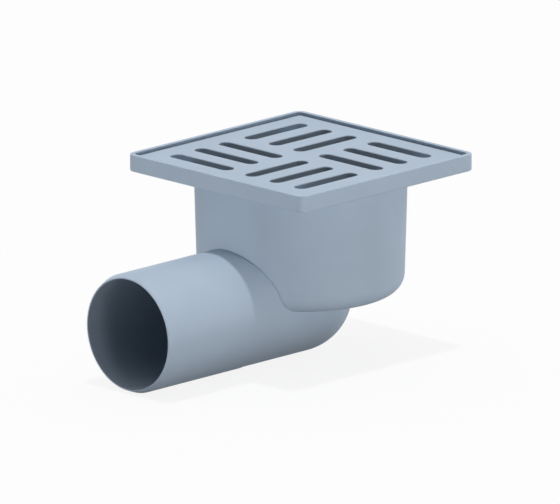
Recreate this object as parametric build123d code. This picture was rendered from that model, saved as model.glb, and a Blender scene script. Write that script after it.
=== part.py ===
from build123d import *
import math
import os

# Horizontal-outlet floor drain with a square slotted grating and a lift-out bell trap.
# Millimetres. The origin is the centre of the frame's top rim, which lies level with
# the finished floor. +Z is up and the outlet runs out towards -Y.

# Frame
frame_side = 102.0
frame_corner_radius = 4.0
frame_edge_break = 0.35
rim_width = 2.0
ledge_thickness = 1.8

# Grating
grating_drop = 1.1
grating_gap = 0.9
grating_edge_break = 0.4
plate_thickness = 2.6
skirt_width = 1.8
slot_width = 6.0
slots_per_block = 3
slot_border = 9.2
block_gap = 9.0
cross_rib_width = 2.0
cross_rib_depth = 3.0

# Bowl, set in from the frame's sides and measured outside, right under the frame
bowl_inset = 6.8
bowl_depth = 51.0
bowl_wall = 2.0
bowl_draft = 1.64
bowl_corner_radius = 8.0
outer_corner_steps = 4
inner_corner_steps = 1

# Outlet. Its diameter is that of the spigot, and the root is the stretch by the bowl.
outlet_diameter = 50.0
outlet_wall = 1.8
outlet_reach = 101.0
outlet_end_offset = 5.0
bore_end_turn = 60.0
bore_end_steps = 2
spigot_length = 55.0
spigot_chamfer_length = 3.0
spigot_land = 0.6
root_relief = 0.2
root_taper_length = 2.0

# Siphon cup
cup_flange_thickness = 1.3
cup_wall = 1.8
cup_sump_clearance = 6.2
collar_height = 1.6
standpipe_wall = 1.8

# Bell
bell_wall = 1.5
bell_outer_gap = 9.2
bell_inner_gap = 8.0
bell_headroom = 6.6
weir_gap = 8.5
rim_gap = 4.7
bell_rib_thickness = 1.6
bell_rib_overhang = 1.5
bell_rib_leg = 7.0
bell_ribs = 4
grip_length = 18.0
grip_thickness = 3.0
grip_height = 4.5

# Seal ring, drawn as it sits in its groove
seal_width = 3.6
seal_height = 4.0
groove_play = 0.4

# Clearances between pieces that lift out
insert_clearance = 0.4
lid_clearance = 0.4
bell_clearance = 0.3

# Levels, worked out from the sizes above
plate_underside = -grating_drop - plate_thickness
ledge_level = plate_underside - lid_clearance - cup_flange_thickness
frame_underside = ledge_level - ledge_thickness
bowl_underside = frame_underside - bowl_depth
bowl_floor = bowl_underside + bowl_wall
outlet_level = bowl_underside
cup_underside = bowl_floor + cup_sump_clearance
cup_floor = cup_underside + cup_wall
bell_top = plate_underside - cross_rib_depth - bell_headroom
bell_ceiling = bell_top - bell_wall
weir_level = bell_ceiling - weir_gap
bell_rim = cup_floor + rim_gap
groove_bottom = ledge_level - seal_height - groove_play
collar_bottom = groove_bottom - collar_height

# Plan sizes, worked out from the sizes above
opening_side = frame_side - 2 * rim_width
opening_corner_radius = frame_corner_radius - rim_width
grating_side = opening_side - 2 * grating_gap
grating_corner_radius = max(opening_corner_radius - grating_gap, grating_edge_break * 2)
skirt_opening_side = grating_side - 2 * skirt_width
block_side = grating_side / 2 - slot_border - block_gap / 2
block_offset = (block_gap + block_side) / 2
bowl_radius = frame_side / 2 - bowl_inset
spigot_radius = outlet_diameter / 2
root_radius = spigot_radius - root_relief
bore_radius = spigot_radius - outlet_wall


def bowl_outside(level):
    """Outer radius of the bowl's tapered wall at a level."""
    return bowl_radius - (frame_underside - level) * math.tan(math.radians(bowl_draft))


def bowl_inside(level):
    """Inner radius of the bowl's tapered wall at a level."""
    return bowl_outside(level) - bowl_wall


# Radii of the pieces that nest in the bowl, each from the one outside it
groove_radius = bowl_inside(groove_bottom) - seal_width
cup_radius = groove_radius - cup_wall
bell_radius = cup_radius - bell_outer_gap
standpipe_radius = bell_radius - bell_wall - bell_inner_gap


def turned(*corners):
    """Solid of revolution about Z from the corners of its section, as radius and level."""
    return revolve(make_face(Plane.XZ * Polyline(*corners, close=True)), Axis.Z)


def square_block(side, corner_radius, top, bottom):
    """Upright block with a rounded square outline."""
    outline = RectangleRounded(side, side, corner_radius)
    return Pos(0, 0, bottom) * extrude(outline, top - bottom)


def top_edges(solid):
    """Edges that lie flat at the solid's highest level."""
    return solid.edges().group_by(Axis.Z)[-1]


def frame():
    """Square frame: a flat ledge with an upright rim round it."""
    block = square_block(frame_side, frame_corner_radius, 0, frame_underside)
    block = chamfer(top_edges(block), min(frame_edge_break, rim_width * 0.4))
    return block - square_block(opening_side, opening_corner_radius, 0, ledge_level)


def bowl_corner(radius, steps):
    """Points round the bowl's bottom edge, from its wall to its floor in even steps."""
    centre_level = bowl_underside + bowl_corner_radius
    lean = math.cos(math.radians(bowl_draft))
    centre_radius = bowl_outside(centre_level) - bowl_corner_radius / lean
    points = []
    for step in range(steps + 1):
        turn = math.radians(bowl_draft + (90 - bowl_draft) * step / steps)
        level = centre_level - radius * math.sin(turn)
        points.append((centre_radius + radius * math.cos(turn), level))
    return points


def bowl_outer():
    """Outer form of the tapered round bowl."""
    return turned(
        (0, ledge_level),
        (bowl_outside(ledge_level), ledge_level),
        *bowl_corner(bowl_corner_radius, outer_corner_steps),
        (0, bowl_underside),
    )


def bowl_cavity():
    """Inside of the bowl, with its bottom corner cut across."""
    return turned(
        (0, ledge_level),
        (bowl_inside(ledge_level), ledge_level),
        *bowl_corner(bowl_corner_radius - bowl_wall, inner_corner_steps),
        (0, bowl_floor),
    )


def outlet_outer():
    """Outside of the outlet pipe: a chamfered spigot, a slimmer root and a domed end."""
    spigot_root = spigot_length - outlet_reach
    side = Polyline(
        (0, -outlet_reach),
        (bore_radius + spigot_land, -outlet_reach),
        (spigot_radius, spigot_chamfer_length - outlet_reach),
        (spigot_radius, spigot_root),
        (root_radius, spigot_root + root_taper_length),
        (root_radius, -outlet_end_offset),
    )
    dome = CenterArc((0, -outlet_end_offset), root_radius, 0, 90)
    axis_line = Line((0, root_radius - outlet_end_offset), (0, -outlet_reach))
    outline = make_face(side + dome + axis_line)
    return Pos(0, 0, outlet_level) * revolve(outline, Axis.Y)


def outlet_bore():
    """Inside of the outlet pipe, which follows the dome in steps to a flat end."""
    corners = [(0, -outlet_reach), (bore_radius, -outlet_reach)]
    for step in range(bore_end_steps + 1):
        turn = math.radians(bore_end_turn * step / bore_end_steps)
        end_y = bore_radius * math.sin(turn) - outlet_end_offset
        corners.append((bore_radius * math.cos(turn), end_y))
    corners.append((0, end_y))
    outline = make_face(Polyline(*corners, close=True))
    return Pos(0, 0, outlet_level) * revolve(outline, Axis.Y)


def body():
    """One moulding: frame, bowl and outlet pipe, open from the bowl into the pipe."""
    return frame() + (bowl_outer() + outlet_outer()) - bowl_cavity() - outlet_bore()


def slots():
    """Slot outlines in four square blocks, each turned square to its neighbours."""
    pitch = (block_side - slot_width) / (slots_per_block - 1)
    block = Sketch()
    for index in range(slots_per_block):
        across = (slot_width - block_side) / 2 + index * pitch
        block += Pos(0, across) * SlotOverall(block_side, slot_width)
    outlines = Sketch()
    for quarter in range(4):
        outlines += Rot(0, 0, 90 * quarter) * Pos(block_offset, block_offset) * block
    return outlines


def cross_ribs():
    """Crossed stiffening ribs under the solid strips between the slot groups."""
    rib_length = 2 * (cup_radius - insert_clearance)
    rib = Rectangle(rib_length, cross_rib_width)
    cross = rib + Rot(0, 0, 90) * rib
    return Pos(0, 0, plate_underside - cross_rib_depth) * extrude(cross, cross_rib_depth)


def grating():
    """Slotted plate with a skirt that stands on the frame's ledge."""
    top = -grating_drop
    plate = square_block(grating_side, grating_corner_radius, top, ledge_level)
    plate -= square_block(skirt_opening_side, grating_corner_radius, plate_underside, ledge_level)
    plate = chamfer(top_edges(plate), grating_edge_break)
    plate -= Pos(0, 0, plate_underside) * extrude(slots(), plate_thickness)
    return plate + cross_ribs()


def siphon_cup():
    """Lift-out cup with a flange, a seal groove and a standpipe in the middle."""
    flange_radius = skirt_opening_side / 2 - insert_clearance
    flange_top = ledge_level + cup_flange_thickness
    collar_radius = bowl_inside(collar_bottom) - insert_clearance
    standpipe_bore = standpipe_radius - standpipe_wall
    return turned(
        (cup_radius, flange_top),
        (flange_radius, flange_top),
        (flange_radius, ledge_level),
        (groove_radius, ledge_level),
        (groove_radius, groove_bottom),
        (collar_radius, groove_bottom),
        (collar_radius, collar_bottom),
        (groove_radius, collar_bottom),
        (groove_radius, cup_underside),
        (standpipe_bore, cup_underside),
        (standpipe_bore, weir_level),
        (standpipe_radius, weir_level),
        (standpipe_radius, cup_floor),
        (cup_radius, cup_floor),
    )


def bell_shell():
    """Inverted cup that dips into the water round the standpipe."""
    return turned(
        (0, bell_top),
        (bell_radius, bell_top),
        (bell_radius, bell_rim),
        (bell_radius - bell_wall, bell_rim),
        (bell_radius - bell_wall, bell_ceiling),
        (0, bell_ceiling),
    )


def bell_rib():
    """Rib under the bell's ceiling, notched to sit on and round the standpipe's lip."""
    inner_end = standpipe_radius - standpipe_wall - bell_rib_overhang
    leg_side = standpipe_radius + bell_clearance
    leg_bottom = weir_level - bell_rib_leg
    top = bell_top - bell_wall / 2
    outer_end = bell_radius - bell_wall / 2
    outline = Polyline(
        (inner_end, top),
        (outer_end, top),
        (outer_end, leg_bottom),
        (leg_side, leg_bottom),
        (leg_side, weir_level),
        (inner_end, weir_level),
        close=True,
    )
    return extrude(make_face(Plane.XZ * outline), bell_rib_thickness / 2, both=True)


def bell():
    """Bell with its ribs inside and a finger grip on top."""
    solid = bell_shell()
    for index in range(bell_ribs):
        turn = (index + 0.5) * 360 / bell_ribs
        solid += Rot(0, 0, turn) * bell_rib()
    grip = extrude(SlotOverall(grip_length, grip_thickness), grip_height + bell_wall / 2)
    return solid + Pos(0, 0, bell_top - bell_wall / 2) * grip


def seal_ring():
    """Rubber ring that fills the gap between the cup's groove and the bowl's wall."""
    ring_bottom = groove_bottom + groove_play / 2
    ring_top = ring_bottom + seal_height
    return turned(
        (groove_radius, ring_top),
        (bowl_inside(ring_bottom), ring_top),
        (bowl_inside(ring_bottom), ring_bottom),
        (groove_radius, ring_bottom),
    )


def main():
    os.makedirs("parts", exist_ok=True)
    nodes = {
        "body": body(),
        "grating": grating(),
        "siphon_cup": siphon_cup(),
        "bell": bell(),
        "seal_ring": seal_ring(),
    }
    for name, solid in nodes.items():
        export_step(solid, f"parts/{name}.step")
        print(name, round(solid.volume, 1), solid.is_valid)


main()
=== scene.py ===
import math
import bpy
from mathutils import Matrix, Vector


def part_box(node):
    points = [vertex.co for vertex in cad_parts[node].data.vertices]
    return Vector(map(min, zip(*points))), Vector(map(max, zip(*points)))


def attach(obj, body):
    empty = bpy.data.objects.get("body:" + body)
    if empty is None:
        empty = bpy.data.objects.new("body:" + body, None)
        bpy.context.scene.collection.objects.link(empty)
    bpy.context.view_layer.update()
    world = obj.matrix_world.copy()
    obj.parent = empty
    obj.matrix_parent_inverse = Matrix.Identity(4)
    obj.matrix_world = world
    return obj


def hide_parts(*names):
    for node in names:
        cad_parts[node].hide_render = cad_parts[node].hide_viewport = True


bl_info = {
    "name": "Floor drain",
    "version": (1, 0, 0),
    "blender": (4, 5, 0),
    "location": "3D View > Sidebar > Floor Drain",
    "description": "Dresses a horizontal-outlet floor drain with its moulded plastic pieces",
    "category": "Add Mesh",
}

import bmesh
import bpy
from bpy.props import FloatProperty, FloatVectorProperty, IntProperty, PointerProperty
from bpy.types import Operator, Panel, PropertyGroup
from mathutils import Matrix, Vector

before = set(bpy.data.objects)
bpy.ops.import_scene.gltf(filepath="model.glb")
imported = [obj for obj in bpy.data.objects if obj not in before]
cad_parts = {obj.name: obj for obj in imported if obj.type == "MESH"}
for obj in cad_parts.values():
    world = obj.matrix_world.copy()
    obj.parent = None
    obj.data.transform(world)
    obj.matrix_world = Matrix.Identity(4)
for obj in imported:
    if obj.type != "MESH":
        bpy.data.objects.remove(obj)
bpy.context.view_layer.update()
BODY_LOW, BODY_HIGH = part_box("body")
GRATING_LOW, GRATING_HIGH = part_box("grating")
CUP_LOW, CUP_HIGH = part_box("siphon_cup")
BELL_LOW, BELL_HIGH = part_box("bell")
SEAL_LOW, SEAL_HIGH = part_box("seal_ring")

# Steps of a full turn, of a rounded corner and of the outlet's closed end.
ROUND_STEPS = 192
CORNER_STEPS = 10
DOME_STEPS = 32
# Faces that meet at more than this keep a sharp edge between them.
SHARP_ANGLE = math.radians(32)
# Points nearer than these are one: while drawing, and after a Boolean.
SAME_PLACE = 1e-6
SAME_AFTER_BOOLEAN = 2e-7
# How far a cutting shape reaches past the wall that it opens.
OVERCUT = 0.01
# Nearly all of Blender's noise lies between these.
NOISE_LOW, NOISE_HIGH = 0.3, 0.7
WHITE = (1, 1, 1, 1)


def length(name, description, default):
    """A size in metres."""
    return FloatProperty(
        name=name, description=description, default=default, min=0, precision=5,
        unit="LENGTH", subtype="DISTANCE",
    )


def angle(name, description, degrees):
    """An angle, given in degrees and kept in radians."""
    return FloatProperty(
        name=name, description=description, default=math.radians(degrees),
        unit="ROTATION", subtype="ANGLE",
    )


def share(name, description, default):
    """A plain number from none to all."""
    return FloatProperty(
        name=name, description=description, default=default, min=0, max=1, subtype="FACTOR",
    )


def strength(name, description, default):
    """How strong a light is."""
    return FloatProperty(name=name, description=description, default=default, min=0)


def direction(name, description, default):
    """A way to look, of any length."""
    return FloatVectorProperty(
        name=name, description=description, default=default, size=3, subtype="DIRECTION",
    )


def colour(name, description, default):
    """A linear colour."""
    return FloatVectorProperty(
        name=name, description=description, default=default, size=3, min=0, max=1,
        subtype="COLOR",
    )


class FrameAndBowlSizes(PropertyGroup):
    """Sizes of the square frame and the round bowl under it"""

    side: length("Frame side", "Outside of the square frame", BODY_HIGH.x - BODY_LOW.x)
    corner_radius: length("Corner radius", "Upright corners of the frame, outside", 0.004)
    rim_width: length("Rim width", "Thickness of the raised rim round the grating", 0.002)
    recess_depth: length("Recess depth", "From the rim's top down to the ledge", 0.0054)
    height: length("Frame height", "From the rim's top to the frame's underside", 0.0072)
    edge_rounding: length("Edge rounding", "Radius along the rim's outer top edge", 0.00032)
    inner_rounding: length("Inner rounding", "Radius along the rim's inner top edge", 0.00012)
    foot_rounding: length("Lower edge rounding", "Radius along the frame's lower edge", 0.0006)
    bowl_radius: length("Bowl radius", "Outside of the bowl, right under the frame", 0.0442)
    bowl_depth: length("Bowl depth", "From the frame's underside to the bowl's", 0.051)
    bowl_wall: length("Bowl wall", "Thickness of the bowl's wall and floor", 0.002)
    bowl_draft: angle("Bowl draft", "Lean of the bowl's wall from the upright", 1.64)
    bowl_corner_radius: length("Bowl corner", "Rounding of the bowl's bottom edge", 0.008)


class OutletSizes(PropertyGroup):
    """Sizes of the outlet pipe at the foot of the bowl"""

    diameter: length("Spigot diameter", "Outside of the push-in end", 0.05)
    wall: length("Wall", "Thickness of the pipe's wall at the spigot", 0.0018)
    reach: length("Reach", "From the bowl's centre to the open end", -BODY_LOW.y)
    spigot_length: length("Spigot length", "Stretch that goes into a socket", 0.055)
    root_relief: length("Root relief", "How much slimmer the pipe is behind the spigot", 0.0002)
    root_taper_length: length("Root taper", "Slope from the spigot to the root", 0.002)
    end_offset: length("Closed end offset", "From the bowl's centre to the dome's centre", 0.005)
    chamfer_length: length("Chamfer length", "Lead-in at the open end", 0.003)
    land: length("Land", "Flat width left at the open end", 0.0006)
    edge_rounding: length("Edge rounding", "Radius along the open end's edges", 0.00018)


class GratingSizes(PropertyGroup):
    """Sizes of the loose slotted grating"""

    side: length("Side", "Outside of the square plate", GRATING_HIGH.x - GRATING_LOW.x)
    corner_radius: length("Corner radius", "Upright corners of the plate", 0.0011)
    plate_thickness: length("Plate thickness", "Plate between the slots", 0.0026)
    skirt_width: length("Skirt width", "Wall that stands on the frame's ledge", 0.0018)
    edge_rounding: length("Edge rounding", "Radius along the plate's outer top edge", 0.00045)
    slot_rounding: length("Slot rounding", "Radius along the slots' top edges", 0.00045)
    slot_width: length("Slot width", "Width of each slot", 0.006)
    block_side: length("Slot length", "Length of the slots, and side of each group", 0.0344)
    block_offset: length("Group offset", "From the middle to each group's centre", 0.0217)
    slots_per_block: IntProperty(
        name="Slots per group", description="Slots side by side in each group", default=3, min=2,
    )
    rib_width: length("Rib width", "Crossed ribs under the plate", 0.002)
    rib_depth: length("Rib depth", "How far the ribs hang down", 0.003)
    rib_length: length("Rib length", "Crossed ribs from end to end", 0.07265)


class TrapSizes(PropertyGroup):
    """Sizes of the lift-out water trap inside the bowl"""

    cup_radius: length("Cup radius", "Outside of the cup below its collar", 0.03853)
    cup_wall: length("Cup wall", "Thickness of the cup's wall and floor", 0.0018)
    flange_thickness: length("Flange thickness", "Flange that hangs on the ledge", 0.0013)
    groove_depth: length("Groove depth", "From the ledge down to the collar", 0.0044)
    collar_height: length("Collar height", "Ring that holds the seal up", 0.0016)
    collar_radius: length("Collar radius", "Outside of the collar", 0.04156)
    standpipe_radius: length("Standpipe radius", "Outside of the standpipe", 0.01803)
    standpipe_top: length("Weir depth", "From the rim's level down to the weir", 0.0233)
    bell_wall: length("Bell wall", "Thickness of the bell", 0.0015)
    bell_top: length("Bell depth", "From the rim's level down to the bell's top", 0.0133)
    rib_thickness: length("Bell rib thickness", "Ribs under the bell's ceiling", 0.0016)
    rib_leg: length("Bell rib leg", "How far a rib reaches down past the weir", 0.007)
    rib_overhang: length("Bell rib overhang", "How far a rib reaches over the bore", 0.0015)
    rib_clearance: length("Bell rib clearance", "Gap from a leg to the standpipe", 0.0003)
    grip_length: length("Grip length", "Finger grip on the bell", 0.018)
    grip_thickness: length("Grip thickness", "Finger grip from side to side", 0.003)
    edge_rounding: length("Edge rounding", "Radius along the trap's edges", 0.0003)


class DrainFinish(PropertyGroup):
    """Colours and surface of the plastic and the rubber"""

    plastic: colour("Drain plastic", "Blue-grey of the body and grating", (0.441, 0.533, 0.643))
    insert: colour("Insert plastic", "Dark grey of the cup and bell", (0.05, 0.055, 0.06))
    rubber: colour("Rubber", "Black of the seal", (0.018, 0.018, 0.019))
    roughness: share("Roughness", "Roughness of the matte plastic", 0.6)
    gloss: share("Gloss", "How strongly the matte plastic reflects", 0.12)
    mottle: share("Mottle", "How far the plastic's colour wanders", 0.03)
    flow_size: length("Flow mark size", "Width of the plastic's flow marks", 0.03)
    sheen_size: length("Sheen patch size", "Width of the patches in the sheen", 0.006)
    sheen_range: share("Sheen range", "How far the plastic's roughness wanders", 0.04)
    grain_size: length("Grain size", "Width of one grain of the moulded skin", 0.0004)
    grain_depth: length("Grain depth", "Height of the moulded skin's grain", 0.000006)
    bloom_size: length("Bloom size", "Width of the patches in the rubber's bloom", 0.004)
    rubber_roughness: share("Rubber roughness", "Roughness of the rubber", 0.65)
    rubber_range: share("Rubber range", "How far the rubber's roughness wanders", 0.1)


class StageSettings(PropertyGroup):
    """Camera, lights and floor"""

    azimuth: angle("Camera azimuth", "Turn of the camera about the drain", 44.708)
    elevation: angle("Camera elevation", "Height of the camera as an angle", 14.739)
    distance: length("Camera distance", "From the camera to the aim point", 9.121)
    aim: FloatVectorProperty(
        name="Aim point", description="Point that the camera looks at", size=3, precision=5,
        default=(0.001168, -0.013423, -0.039387), unit="LENGTH", subtype="XYZ",
    )
    lens: FloatProperty(
        name="Lens", description="Focal length in millimetres", default=1421.4, min=1,
    )
    key: strength("Key light", "Overhead light's strength", 1.36)
    key_spread: angle("Key spread", "Angular size of the overhead light", 3)
    key_direction: direction("Key direction", "Way to the overhead light", (0.06, 0.02, 1))
    front: strength("Front light", "Strength of the level light before the open end", 1.12)
    front_direction: direction("Front direction", "Way to the front light", (0, -1, 0))
    side: strength("Side light", "Strength of the level light beside the drain", 1.3)
    side_direction: direction("Side direction", "Way to the side light", (1, 0.45, 0))
    level_spread: angle("Level spread", "Angular size of the front and side lights", 0.4)
    mouth: strength("Mouth light", "Strength of the light that reaches into the bore", 0.42)
    mouth_direction: direction("Mouth direction", "Way to the mouth light", (1, -0.2, 0.006))
    mouth_spread: angle("Mouth spread", "Angular size of the mouth light", 14)
    sky: strength("Sky", "Brightness of the world at its brightest", 0.97)
    sky_direction: direction(
        "Sky direction", "Way to the world's brightest part", (-0.45, 0.45, 0.77),
    )
    floor_size: length("Floor size", "Half the floor's width", 6.0)
    floor_tone: share("Floor tone", "How much light the floor throws back", 0.4)
    # Painted shade: close round the drain the floor throws back less light, which darkens the
    # drain's underside.
    near_painted_shade_tone: share("Near floor tone", "The same close round the drain", 0.1)
    near_radius: length("Near floor", "Where the floor starts to grow lighter", 0.06)
    far_radius: length("Far floor", "Where the floor has its full tone", 0.25)
    shown_tone: share("Shown floor tone", "Tone of the floor as the camera sees it", 0.9)
    floor_white: share("Floor white", "How much of the seen floor is plain white", 0.88)


class FloorDrain(PropertyGroup):
    """All sizes and colours of the floor drain"""

    body: PointerProperty(type=FrameAndBowlSizes)
    outlet: PointerProperty(type=OutletSizes)
    grating: PointerProperty(type=GratingSizes)
    trap: PointerProperty(type=TrapSizes)
    finish: PointerProperty(type=DrainFinish)
    stage: PointerProperty(type=StageSettings)


def only_verts(geometry):
    """Vertices among what an operator gives back."""
    return [item for item in geometry if isinstance(item, bmesh.types.BMVert)]


def rounded_face(bm, long, wide, radius, place=Matrix()):
    """Flat face with rounded corners, drawn round the origin and then moved by place."""
    verts = bmesh.ops.create_grid(bm, x_segments=1, y_segments=1, size=0.5)["verts"]
    bmesh.ops.scale(bm, vec=(long, wide, 1), verts=verts)
    rounded = bmesh.ops.bevel(
        bm, geom=verts, offset=radius, offset_type="OFFSET", segments=CORNER_STEPS, profile=0.5,
        affect="VERTICES", clamp_overlap=True, material=-1,
    )
    face = rounded["verts"][0].link_faces[0]
    bmesh.ops.transform(bm, matrix=place, verts=face.verts)
    return face


def extruded(bm, faces, offset, keep=True):
    """Push faces by an offset, with walls round them. The first faces stay, or go."""
    made = bmesh.ops.extrude_face_region(bm, geom=faces, use_keep_orig=True)["geom"]
    bmesh.ops.translate(bm, vec=offset, verts=only_verts(made))
    if not keep:
        bmesh.ops.delete(bm, geom=faces, context="FACES_ONLY")


def walled(bm, long, wide, radius, steps, place=Matrix()):
    """Wall round a rounded rectangle. Each step gives how far it grows and its height.

    Neighbouring steps differ in height: loops in one plane may be bridged the wrong way round.
    A corner stays a little round, however far the rectangle shrinks.
    """
    loops = []
    for growth, height in steps:
        lifted = place @ Matrix.Translation((0, 0, height))
        corner = max(radius + growth, radius / 4)
        face = rounded_face(bm, long + 2 * growth, wide + 2 * growth, corner, lifted)
        loops.append(face.edges[:])
        bmesh.ops.delete(bm, geom=[face], context="FACES_ONLY")
    for lower, upper in zip(loops, loops[1:]):
        bmesh.ops.bridge_loops(bm, edges=lower + upper)


def rounding(radius, top, growing, steps=5):
    """Steps of a wall's rounded top edge, up to a height, growing outwards or inwards."""
    turns = [index / steps * math.pi / 2 for index in range(steps + 1)]
    return [
        (growing * radius * (1 - math.cos(turn)), top - radius * (1 - math.sin(turn)))
        for turn in turns
    ]


def at_level(level):
    """Test of whether a point lies at a height."""
    return lambda co: abs(co.z - level) < SAME_PLACE


def flat_fill(bm, level):
    """Close all open edges at one height with a flat face that leaves the holes open."""
    on_level = at_level(level)
    edges = [
        edge for edge in bm.edges
        if edge.is_boundary and all(on_level(vert.co) for vert in edge.verts)
    ]
    bmesh.ops.triangle_fill(bm, edges=edges, use_beauty=True, use_dissolve=False, normal=(0, 0, 1))


def block(long, wide, radius, top, bottom):
    """Upright block with rounded corners."""
    bm = bmesh.new()
    face = rounded_face(bm, long, wide, radius, Matrix.Translation((0, 0, top)))
    extruded(bm, [face], (0, 0, bottom - top))
    bmesh.ops.recalc_face_normals(bm, faces=bm.faces)
    return bm


def profile(bm, points, closed=False):
    """Chain of edges through points. Gives its last vertex."""
    verts = [bm.verts.new(point) for point in points]
    for start, end in zip(verts, verts[1:] + verts[:1] if closed else verts[1:]):
        bm.edges.new((start, end))
    return verts[-1]


def turn(bm, centre, axis):
    """Spin everything drawn so far all the way round an axis and close the result."""
    geometry = bm.verts[:] + bm.edges[:]
    bmesh.ops.spin(
        bm, geom=geometry, cent=centre, axis=axis, angle=math.tau, steps=ROUND_STEPS,
        use_merge=True, use_duplicate=False,
    )
    bmesh.ops.remove_doubles(bm, verts=bm.verts, dist=SAME_PLACE)
    bmesh.ops.recalc_face_normals(bm, faces=bm.faces)


def round_edges(bm, edges, offset, steps=3):
    """Round edges of a solid with an even radius."""
    bmesh.ops.bevel(
        bm, geom=list(edges), offset=offset, offset_type="OFFSET", segments=steps, profile=0.5,
        affect="EDGES", clamp_overlap=True, material=-1,
    )


def sharp_edges(bm, test):
    """Edges between faces that meet at a clear angle, with both ends passing a test."""
    return [
        edge for edge in bm.edges
        if len(edge.link_faces) == 2 and edge.calc_face_angle(0) > SHARP_ANGLE
        and all(test(vert.co) for vert in edge.verts)
    ]


def new_object(bm, name):
    """Object that holds a bmesh's shape."""
    mesh = bpy.data.meshes.new(name)
    bm.to_mesh(mesh)
    bm.free()
    made = bpy.data.objects.new(name, mesh)
    bpy.context.scene.collection.objects.link(made)
    return made


def combined(base, added=(), cut=()):
    """Join solids to a base object and cut others out of it. Gives the result as a bmesh."""
    tools = [("UNION", tool) for tool in added] + [("DIFFERENCE", tool) for tool in cut]
    for operation, tool in tools:
        modifier = base.modifiers.new(operation.lower(), "BOOLEAN")
        modifier.operation = operation
        modifier.solver = "EXACT"
        modifier.object = tool
    graph = bpy.context.evaluated_depsgraph_get()
    mesh = bpy.data.meshes.new_from_object(base.evaluated_get(graph))
    bm = bmesh.new()
    bm.from_mesh(mesh)
    bpy.data.meshes.remove(mesh)
    for spent in [base] + [tool for operation, tool in tools]:
        bpy.data.objects.remove(spent)
    bmesh.ops.remove_doubles(bm, verts=bm.verts, dist=SAME_AFTER_BOOLEAN)
    return bm


def finish_piece(bm, name, node, material):
    """Turn a bmesh into a smooth piece that stands for a node and takes its finish."""
    piece = new_object(bm, name)
    piece.data.shade_smooth()
    piece.data.set_sharp_from_angle(angle=SHARP_ANGLE)
    weighted = piece.modifiers.new("even shading", "WEIGHTED_NORMAL")
    weighted.keep_sharp = True
    piece.data.materials.append(material)
    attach(piece, "root")
    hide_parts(node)


def surface(name):
    """Material of a name. Its node tree and shader come with it only if it is new."""
    material = bpy.data.materials.get(name)
    if material:
        return material, None, None
    material = bpy.data.materials.new(name)
    material.use_nodes = True
    tree = material.node_tree
    return material, tree, tree.nodes["Principled BSDF"]


def noise(tree, size, detail, roughness=0.5):
    """Noise over the piece itself, with features of one size in metres."""
    place = tree.nodes.new("ShaderNodeTexCoord")
    made = tree.nodes.new("ShaderNodeTexNoise")
    made.inputs["Scale"].default_value = 1 / size
    made.inputs["Detail"].default_value = detail
    made.inputs["Roughness"].default_value = roughness
    tree.links.new(place.outputs["Object"], made.inputs["Vector"])
    return made.outputs["Fac"]


def ranged(tree, value, low, high):
    """Spread a noise over a range."""
    made = tree.nodes.new("ShaderNodeMapRange")
    made.inputs["From Min"].default_value = NOISE_LOW
    made.inputs["From Max"].default_value = NOISE_HIGH
    made.inputs["To Min"].default_value = low
    made.inputs["To Max"].default_value = high
    tree.links.new(value, made.inputs["Value"])
    return made.outputs["Result"]


def two_toned(tree, shader, factor, dark, light):
    """Base colour that wanders between two tones."""
    tone = tree.nodes.new("ShaderNodeMix")
    tone.data_type = "RGBA"
    tone.inputs["A"].default_value = (*dark, 1)
    tone.inputs["B"].default_value = (*light, 1)
    tree.links.new(ranged(tree, factor, 0, 1), tone.inputs["Factor"])
    tree.links.new(tone.outputs["Result"], shader.inputs["Base Color"])


def moulded_plastic(name, base, finish):
    """Matte moulded plastic: faint flow marks, an uneven sheen and a fine grain."""
    material, tree, shader = surface(name)
    if shader is None:
        return material
    flow = noise(tree, finish.flow_size, detail=3)
    patches = noise(tree, finish.sheen_size, detail=4)
    grain = noise(tree, finish.grain_size, detail=2, roughness=0.6)
    dark = [part * (1 - finish.mottle) for part in base]
    light = [min(1, part * (1 + finish.mottle)) for part in base]
    two_toned(tree, shader, flow, dark, light)
    low, high = finish.roughness - finish.sheen_range, finish.roughness + finish.sheen_range
    tree.links.new(ranged(tree, patches, low, high), shader.inputs["Roughness"])
    bump = tree.nodes.new("ShaderNodeBump")
    bump.inputs["Strength"].default_value = 1
    bump.inputs["Distance"].default_value = finish.grain_depth
    tree.links.new(grain, bump.inputs["Height"])
    tree.links.new(bump.outputs["Normal"], shader.inputs["Normal"])
    shader.inputs["Specular IOR Level"].default_value = finish.gloss
    return material


def seal_rubber(name, finish):
    """Black rubber with a faint bloom."""
    material, tree, shader = surface(name)
    if shader is None:
        return material
    bloom = noise(tree, finish.bloom_size, detail=5)
    two_toned(tree, shader, bloom, finish.rubber, [part * 2 for part in finish.rubber])
    low = finish.rubber_roughness - finish.rubber_range
    high = finish.rubber_roughness + finish.rubber_range
    tree.links.new(ranged(tree, bloom, low, high), shader.inputs["Roughness"])
    return material


def drain_plastic(drain):
    """Plastic of the body and the grating."""
    return moulded_plastic("blue-grey plastic", drain.finish.plastic, drain.finish)


def insert_plastic(drain):
    """Plastic of the cup and the bell."""
    return moulded_plastic("dark grey plastic", drain.finish.insert, drain.finish)


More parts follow.
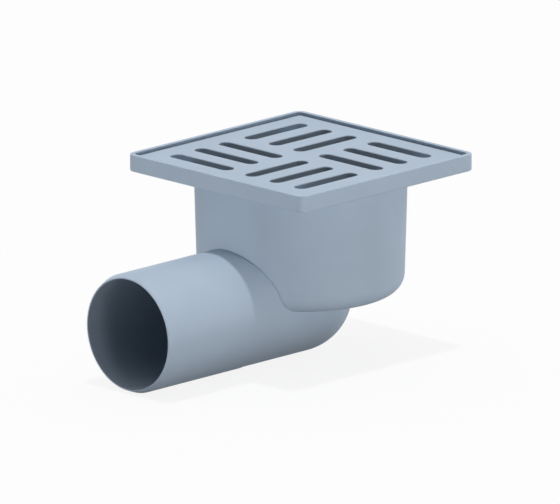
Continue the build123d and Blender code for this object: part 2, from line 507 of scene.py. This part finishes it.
def frame_with_recess(sizes):
    """Square frame, still closed below: a raised rim round a flat ledge."""
    bm = bmesh.new()
    top = rounded_face(bm, sizes.side, sizes.side, sizes.corner_radius)
    bmesh.ops.inset_region(
        bm, faces=[top], thickness=sizes.rim_width, use_even_offset=True, use_boundary=True,
    )
    recess = max(bm.faces, key=lambda face: face.calc_area())
    rim = [edge for edge in bm.edges if edge.is_boundary]
    walls = bmesh.ops.extrude_edge_only(bm, edges=rim)["geom"]
    bmesh.ops.translate(bm, vec=(0, 0, -sizes.height), verts=only_verts(walls))
    foot = [edge for edge in bm.edges if edge.is_boundary]
    bmesh.ops.contextual_create(bm, geom=foot)
    extruded(bm, [recess], (0, 0, -sizes.recess_depth), keep=False)
    bmesh.ops.recalc_face_normals(bm, faces=bm.faces)
    rim_middle = sizes.side / 2 - sizes.rim_width / 2
    crest = sharp_edges(bm, at_level(0))
    inner = [edge for edge in crest if max(map(abs, edge.verts[0].co.xy)) < rim_middle]
    outer = [edge for edge in crest if edge not in inner]
    round_edges(bm, outer, sizes.edge_rounding, steps=4)
    inner = [edge for edge in inner if edge.is_valid]
    round_edges(bm, inner, sizes.inner_rounding)
    round_edges(bm, sharp_edges(bm, at_level(-sizes.height)), sizes.foot_rounding)
    return bm


def bowl_form(sizes, inward, top, bottom, corner):
    """Tapered round form of the bowl, set inward by a wall, with a rounded bottom edge."""
    lean = math.tan(sizes.bowl_draft)

    def radius(level):
        return sizes.bowl_radius - (-sizes.height - level) * lean - inward

    bm = bmesh.new()
    profile(bm, [(0, 0, top), (radius(top), 0, top), (radius(bottom), 0, bottom), (0, 0, bottom)])
    turn(bm, (0, 0, 0), (0, 0, 1))
    turned = math.pi / 2 - sizes.bowl_draft
    round_edges(bm, sharp_edges(bm, at_level(bottom)), corner * math.tan(turned / 2), steps=14)
    return bm


def pipe_form(points, dome_radius, end_offset, level):
    """Solid of revolution about the outlet's axis that ends in a dome under the bowl."""
    bm = bmesh.new()
    last = profile(bm, [(radius, along, level) for radius, along in points])
    bmesh.ops.spin(
        bm, geom=[last], cent=(0, -end_offset, level), axis=(0, 0, 1), angle=math.pi / 2,
        steps=DOME_STEPS, use_duplicate=False,
    )
    turn(bm, (0, 0, level), (0, 1, 0))
    return bm


class DRAIN_OT_body(Operator):
    """Build the one-piece moulding: frame, bowl and outlet pipe"""

    bl_idname = "drain.body"
    bl_label = "Body"

    def execute(self, context):
        drain = context.scene.floor_drain
        sizes, outlet = drain.body, drain.outlet
        level = -sizes.height - sizes.bowl_depth
        ledge = -sizes.recess_depth
        spigot = outlet.diameter / 2
        bore = spigot - outlet.wall
        root = spigot - outlet.root_relief
        inside_corner = sizes.bowl_corner_radius - sizes.bowl_wall
        # The bowl starts inside the frame's floor, and its hollow above it, so that they meet.
        floor_middle = (ledge - sizes.height) / 2
        bowl = bowl_form(sizes, 0, floor_middle, level, sizes.bowl_corner_radius)
        hollow = bowl_form(
            sizes, sizes.bowl_wall, ledge / 2, level + sizes.bowl_wall, inside_corner,
        )
        outside = [
            (0, -outlet.reach),
            (bore + outlet.land, -outlet.reach),
            (spigot, outlet.chamfer_length - outlet.reach),
            (spigot, outlet.spigot_length - outlet.reach),
            (root, outlet.spigot_length + outlet.root_taper_length - outlet.reach),
            (root, -outlet.end_offset),
        ]
        pipe = pipe_form(outside, root, outlet.end_offset, level)
        before_mouth = -outlet.reach - OVERCUT
        inside = [(0, before_mouth), (bore, before_mouth), (bore, -outlet.end_offset)]
        passage = pipe_form(inside, bore, outlet.end_offset, level)
        base = new_object(frame_with_recess(sizes), "frame")
        added = [new_object(bowl, "bowl"), new_object(pipe, "pipe")]
        cut = [new_object(hollow, "hollow"), new_object(passage, "passage")]
        bm = combined(base, added, cut)
        mouth = sharp_edges(bm, lambda co: abs(co.y + outlet.reach) < SAME_PLACE)
        round_edges(bm, mouth, outlet.edge_rounding, steps=2)
        finish_piece(bm, "drain_body", "body", drain_plastic(drain))
        return {"FINISHED"}


class DRAIN_OT_grating(Operator):
    """Build the loose slotted grating"""

    bl_idname = "drain.grating"
    bl_label = "Grating"

    def execute(self, context):
        drain = context.scene.floor_drain
        sizes = drain.grating
        top = GRATING_HIGH.z
        ledge = -drain.body.recess_depth
        underside = top - sizes.plate_thickness
        bm = bmesh.new()
        inside = [(-sizes.skirt_width, underside), (-sizes.skirt_width, ledge)]
        walled(bm, sizes.side, sizes.side, sizes.corner_radius, inside)
        outside = [(0, ledge)] + rounding(sizes.edge_rounding, top, -1)
        walled(bm, sizes.side, sizes.side, sizes.corner_radius, outside)
        pitch = (sizes.block_side - sizes.slot_width) / (sizes.slots_per_block - 1)
        slot = [(0, underside)] + rounding(sizes.slot_rounding, top, 1)
        for quarter in range(4):
            group = Matrix.Rotation(quarter * math.pi / 2, 4, "Z")
            for index in range(sizes.slots_per_block):
                across = (sizes.slot_width - sizes.block_side) / 2 + index * pitch
                centre = (sizes.block_offset, sizes.block_offset + across, 0)
                place = group @ Matrix.Translation(centre)
                walled(bm, sizes.block_side, sizes.slot_width, sizes.slot_width / 2, slot, place)
        bmesh.ops.remove_doubles(bm, verts=bm.verts, dist=SAME_PLACE)
        for level in (top, underside, ledge):
            flat_fill(bm, level)
        bmesh.ops.recalc_face_normals(bm, faces=bm.faces)
        plate = new_object(bm, "plate")
        rib_top = underside + sizes.plate_thickness / 2
        rib_bottom = underside - sizes.rib_depth
        rib_corner = sizes.rib_width / 20
        ribs = [
            new_object(block(long, wide, rib_corner, rib_top, rib_bottom), "rib")
            for long, wide in (
                (sizes.rib_length, sizes.rib_width), (sizes.rib_width, sizes.rib_length),
            )
        ]
        bm = combined(plate, ribs)
        finish_piece(bm, "slotted_grating", "grating", drain_plastic(drain))
        return {"FINISHED"}


class DRAIN_OT_siphon_cup(Operator):
    """Build the lift-out cup with its flange, seal groove and standpipe"""

    bl_idname = "drain.siphon_cup"
    bl_label = "Siphon cup"

    def execute(self, context):
        drain = context.scene.floor_drain
        sizes = drain.trap
        ledge = -drain.body.recess_depth
        groove = ledge - sizes.groove_depth
        wall = sizes.cup_radius - sizes.cup_wall
        bore = sizes.standpipe_radius - sizes.cup_wall
        floor = CUP_LOW.z + sizes.cup_wall
        section = [
            (wall, ledge + sizes.flange_thickness),
            (CUP_HIGH.x, ledge + sizes.flange_thickness),
            (CUP_HIGH.x, ledge),
            (sizes.cup_radius, ledge),
            (sizes.cup_radius, groove),
            (sizes.collar_radius, groove),
            (sizes.collar_radius, groove - sizes.collar_height),
            (sizes.cup_radius, groove - sizes.collar_height),
            (sizes.cup_radius, CUP_LOW.z),
            (bore, CUP_LOW.z),
            (bore, -sizes.standpipe_top),
            (sizes.standpipe_radius, -sizes.standpipe_top),
            (sizes.standpipe_radius, floor),
            (wall, floor),
        ]
        bm = bmesh.new()
        profile(bm, [(radius, 0, level) for radius, level in section], closed=True)
        turn(bm, (0, 0, 0), (0, 0, 1))
        round_edges(bm, sharp_edges(bm, lambda co: True), sizes.edge_rounding)
        finish_piece(bm, "siphon_cup_moulding", "siphon_cup", insert_plastic(drain))
        return {"FINISHED"}


class DRAIN_OT_bell(Operator):
    """Build the bell that stands over the standpipe, with its ribs and finger grip"""

    bl_idname = "drain.bell"
    bl_label = "Bell"

    def rib(self, sizes, ceiling):
        """One notched rib, in the plane through the axis."""
        reach = BELL_HIGH.x - sizes.bell_wall / 2
        inner = sizes.standpipe_radius - sizes.cup_wall - sizes.rib_overhang
        side = sizes.standpipe_radius + sizes.rib_clearance
        weir = -sizes.standpipe_top
        foot = weir - sizes.rib_leg
        top = ceiling + sizes.bell_wall / 2
        half = sizes.rib_thickness / 2
        bm = bmesh.new()
        corners = [
            (inner, top), (reach, top), (reach, foot), (side, foot), (side, weir), (inner, weir),
        ]
        face = bm.faces.new([bm.verts.new((radius, -half, level)) for radius, level in corners])
        extruded(bm, [face], (0, 2 * half, 0))
        bmesh.ops.recalc_face_normals(bm, faces=bm.faces)
        return bm

    def execute(self, context):
        drain = context.scene.floor_drain
        sizes = drain.trap
        radius = BELL_HIGH.x
        top = -sizes.bell_top
        ceiling = top - sizes.bell_wall
        section = [
            (0, top), (radius, top), (radius, BELL_LOW.z),
            (radius - sizes.bell_wall, BELL_LOW.z),
            (radius - sizes.bell_wall, ceiling), (0, ceiling),
        ]
        bm = bmesh.new()
        profile(bm, [(across, 0, level) for across, level in section])
        turn(bm, (0, 0, 0), (0, 0, 1))
        round_edges(bm, sharp_edges(bm, at_level(top)), sizes.edge_rounding * 3, steps=5)
        round_edges(bm, sharp_edges(bm, at_level(BELL_LOW.z)), sizes.edge_rounding)
        shell = new_object(bm, "shell")
        added = []
        for index in range(4):
            rib = self.rib(sizes, ceiling)
            spun = Matrix.Rotation((index + 0.5) * math.pi / 2, 4, "Z")
            bmesh.ops.transform(rib, matrix=spun, verts=rib.verts)
            added.append(new_object(rib, "rib"))
        grip = block(
            sizes.grip_length, sizes.grip_thickness, sizes.grip_thickness / 2,
            BELL_HIGH.z, top - sizes.bell_wall / 2,
        )
        bmesh.ops.remove_doubles(grip, verts=grip.verts, dist=SAME_PLACE)
        crest = sharp_edges(grip, at_level(BELL_HIGH.z))
        round_edges(grip, crest, sizes.edge_rounding * 2, steps=4)
        added.append(new_object(grip, "grip"))
        bm = combined(shell, added)
        finish_piece(bm, "bell_moulding", "bell", insert_plastic(drain))
        return {"FINISHED"}


class DRAIN_OT_seal(Operator):
    """Build the rubber ring in the cup's groove"""

    bl_idname = "drain.seal"
    bl_label = "Seal ring"

    def execute(self, context):
        drain = context.scene.floor_drain
        inner, outer = drain.trap.cup_radius, SEAL_HIGH.x
        low, high = SEAL_LOW.z, SEAL_HIGH.z
        bm = bmesh.new()
        section = [(inner, low), (outer, low), (outer, high), (inner, high)]
        profile(bm, [(radius, 0, level) for radius, level in section], closed=True)
        turn(bm, (0, 0, 0), (0, 0, 1))
        round_edges(bm, sharp_edges(bm, lambda co: True), (high - low) / 5, steps=5)
        material = seal_rubber("black rubber", drain.finish)
        finish_piece(bm, "rubber_seal", "seal_ring", material)
        return {"FINISHED"}


def new_lamp(name, towards, energy, spread):
    """Sun lamp that shines from a direction."""
    lamp = bpy.data.lights.new(name, "SUN")
    lamp.energy = energy
    lamp.angle = spread
    made = bpy.data.objects.new(name, lamp)
    made.rotation_euler = Vector(towards).to_track_quat("Z", "Y").to_euler()
    bpy.context.scene.collection.objects.link(made)


def mixed_shader(tree, share_of_second, first, second):
    """Mix of two shaders, by a socket or a plain number."""
    made = tree.nodes.new("ShaderNodeMixShader")
    if isinstance(share_of_second, bpy.types.NodeSocket):
        tree.links.new(share_of_second, made.inputs["Fac"])
    else:
        made.inputs["Fac"].default_value = share_of_second
    tree.links.new(first.outputs[0], made.inputs[1])
    tree.links.new(second.outputs[0], made.inputs[2])
    return made


def seen_directly(tree):
    """One where a ray comes from the camera, a reflection or through glass, and else zero."""
    path = tree.nodes.new("ShaderNodeLightPath")
    total = path.outputs["Is Camera Ray"]
    for kind in ("Is Glossy Ray", "Is Transmission Ray"):
        most = tree.nodes.new("ShaderNodeMath")
        most.operation = "MAXIMUM"
        tree.links.new(total, most.inputs[0])
        tree.links.new(path.outputs[kind], most.inputs[1])
        total = most.outputs[0]
    return total


class DRAIN_OT_stage(Operator):
    """Set the camera, the lights, the white surroundings and the pale floor"""

    bl_idname = "drain.stage"
    bl_label = "Stage"

    def camera(self, scene, stage):
        """Camera on a sphere round its aim point, upright."""
        turned, raised = stage.azimuth, stage.elevation
        right = Vector((math.cos(turned), math.sin(turned), 0))
        level = math.cos(raised)
        back = Vector((math.sin(turned) * level, -math.cos(turned) * level, math.sin(raised)))
        up = back.cross(right)
        camera = bpy.data.cameras.new("camera")
        camera.lens = stage.lens
        camera.sensor_width = 36
        camera.clip_end = 100
        made = bpy.data.objects.new("camera", camera)
        axes = Matrix((right, up, back)).transposed().to_4x4()
        made.matrix_world = Matrix.Translation(Vector(stage.aim) + back * stage.distance) @ axes
        scene.collection.objects.link(made)
        scene.camera = made

    def surroundings(self, scene, stage):
        """World that lights from one side of the sky and is itself seen as plain white."""
        world = bpy.data.worlds.new("surroundings")
        scene.world = world
        world.use_nodes = True
        tree = world.node_tree
        lit = tree.nodes["Background"]
        place = tree.nodes.new("ShaderNodeTexCoord")
        towards = tree.nodes.new("ShaderNodeVectorMath")
        towards.operation = "DOT_PRODUCT"
        towards.inputs[1].default_value = Vector(stage.sky_direction).normalized()
        tree.links.new(place.outputs["Generated"], towards.inputs[0])
        glow = tree.nodes.new("ShaderNodeMath")
        glow.operation = "MULTIPLY"
        glow.inputs[1].default_value = stage.sky
        tree.links.new(towards.outputs["Value"], glow.inputs[0])
        upper = tree.nodes.new("ShaderNodeMath")
        upper.operation = "MAXIMUM"
        upper.inputs[1].default_value = 0
        tree.links.new(glow.outputs["Value"], upper.inputs[0])
        tree.links.new(upper.outputs["Value"], lit.inputs["Strength"])
        lit.inputs["Color"].default_value = WHITE
        white = tree.nodes.new("ShaderNodeBackground")
        white.inputs["Color"].default_value = WHITE
        mixed = mixed_shader(tree, seen_directly(tree), lit, white)
        tree.links.new(mixed.outputs["Shader"], tree.nodes["World Output"].inputs["Surface"])

    def floor(self, stage):
        """Pale floor that takes the shadow. Near the drain it throws little light back, which
        paints shade onto the drain's underside.
        """
        bm = bmesh.new()
        bmesh.ops.create_grid(bm, x_segments=8, y_segments=8, size=stage.floor_size)
        bmesh.ops.translate(bm, vec=(0, 0, BODY_LOW.z), verts=bm.verts)
        made = new_object(bm, "floor")
        material = bpy.data.materials.new("pale floor")
        material.use_nodes = True
        tree = material.node_tree
        tree.nodes.clear()
        shaded = tree.nodes.new("ShaderNodeBsdfDiffuse")
        shaded.inputs["Color"].default_value = (*[stage.shown_tone] * 3, 1)
        white = tree.nodes.new("ShaderNodeEmission")
        shown = mixed_shader(tree, stage.floor_white, shaded, white)
        place = tree.nodes.new("ShaderNodeTexCoord")
        apart = tree.nodes.new("ShaderNodeVectorMath")
        apart.operation = "LENGTH"
        tree.links.new(place.outputs["Object"], apart.inputs[0])
        # Painted shade: the tone that the floor throws back is darker close round the drain, so
        # the drain's underside falls darker.
        tone = tree.nodes.new("ShaderNodeMapRange")
        tone.inputs["From Min"].default_value = stage.near_radius
        tone.inputs["From Max"].default_value = stage.far_radius
        tone.inputs["To Min"].default_value = stage.near_painted_shade_tone
        tone.inputs["To Max"].default_value = stage.floor_tone
        tree.links.new(apart.outputs["Value"], tone.inputs["Value"])
        bounced_with_painted_shade = tree.nodes.new("ShaderNodeBsdfDiffuse")
        tree.links.new(tone.outputs["Result"], bounced_with_painted_shade.inputs["Color"])
        either = mixed_shader(tree, seen_directly(tree), bounced_with_painted_shade, shown)
        output = tree.nodes.new("ShaderNodeOutputMaterial")
        tree.links.new(either.outputs["Shader"], output.inputs["Surface"])
        made.data.materials.append(material)

    def execute(self, context):
        scene = context.scene
        stage = scene.floor_drain.stage
        scene.view_settings.view_transform = "Standard"
        self.camera(scene, stage)
        self.surroundings(scene, stage)
        self.floor(stage)
        new_lamp("key", stage.key_direction, stage.key, stage.key_spread)
        new_lamp("front", stage.front_direction, stage.front, stage.level_spread)
        new_lamp("side", stage.side_direction, stage.side, stage.level_spread)
        new_lamp("mouth", stage.mouth_direction, stage.mouth, stage.mouth_spread)
        return {"FINISHED"}


class DRAIN_PT_sidebar(Panel):
    """Buttons that build the floor drain, piece by piece"""

    bl_idname = "DRAIN_PT_sidebar"
    bl_label = "Floor Drain"
    bl_space_type = "VIEW_3D"
    bl_region_type = "UI"
    bl_category = "Floor Drain"

    def draw(self, context):
        for operator in OPERATORS:
            self.layout.operator(operator.bl_idname)
        drain = context.scene.floor_drain
        groups = (
            drain.body, drain.outlet, drain.grating, drain.trap, drain.finish, drain.stage,
        )
        for group in groups:
            box = self.layout.box()
            for name in group.bl_rna.properties.keys():
                if name not in ("rna_type", "name"):
                    box.prop(group, name)


GROUPS = (
    FrameAndBowlSizes, OutletSizes, GratingSizes, TrapSizes, DrainFinish, StageSettings,
    FloorDrain,
)
OPERATORS = (
    DRAIN_OT_body, DRAIN_OT_grating, DRAIN_OT_siphon_cup, DRAIN_OT_bell, DRAIN_OT_seal,
    DRAIN_OT_stage,
)


def register():
    for group in GROUPS + OPERATORS + (DRAIN_PT_sidebar,):
        bpy.utils.register_class(group)
    bpy.types.Scene.floor_drain = PointerProperty(type=FloorDrain)


def unregister():
    del bpy.types.Scene.floor_drain
    for group in reversed(GROUPS + OPERATORS + (DRAIN_PT_sidebar,)):
        bpy.utils.unregister_class(group)


def main():
    register()
    bpy.ops.drain.body()
    bpy.ops.drain.grating()
    bpy.ops.drain.siphon_cup()
    bpy.ops.drain.bell()
    bpy.ops.drain.seal()
    bpy.ops.drain.stage()


if __name__ == "__main__":
    main()
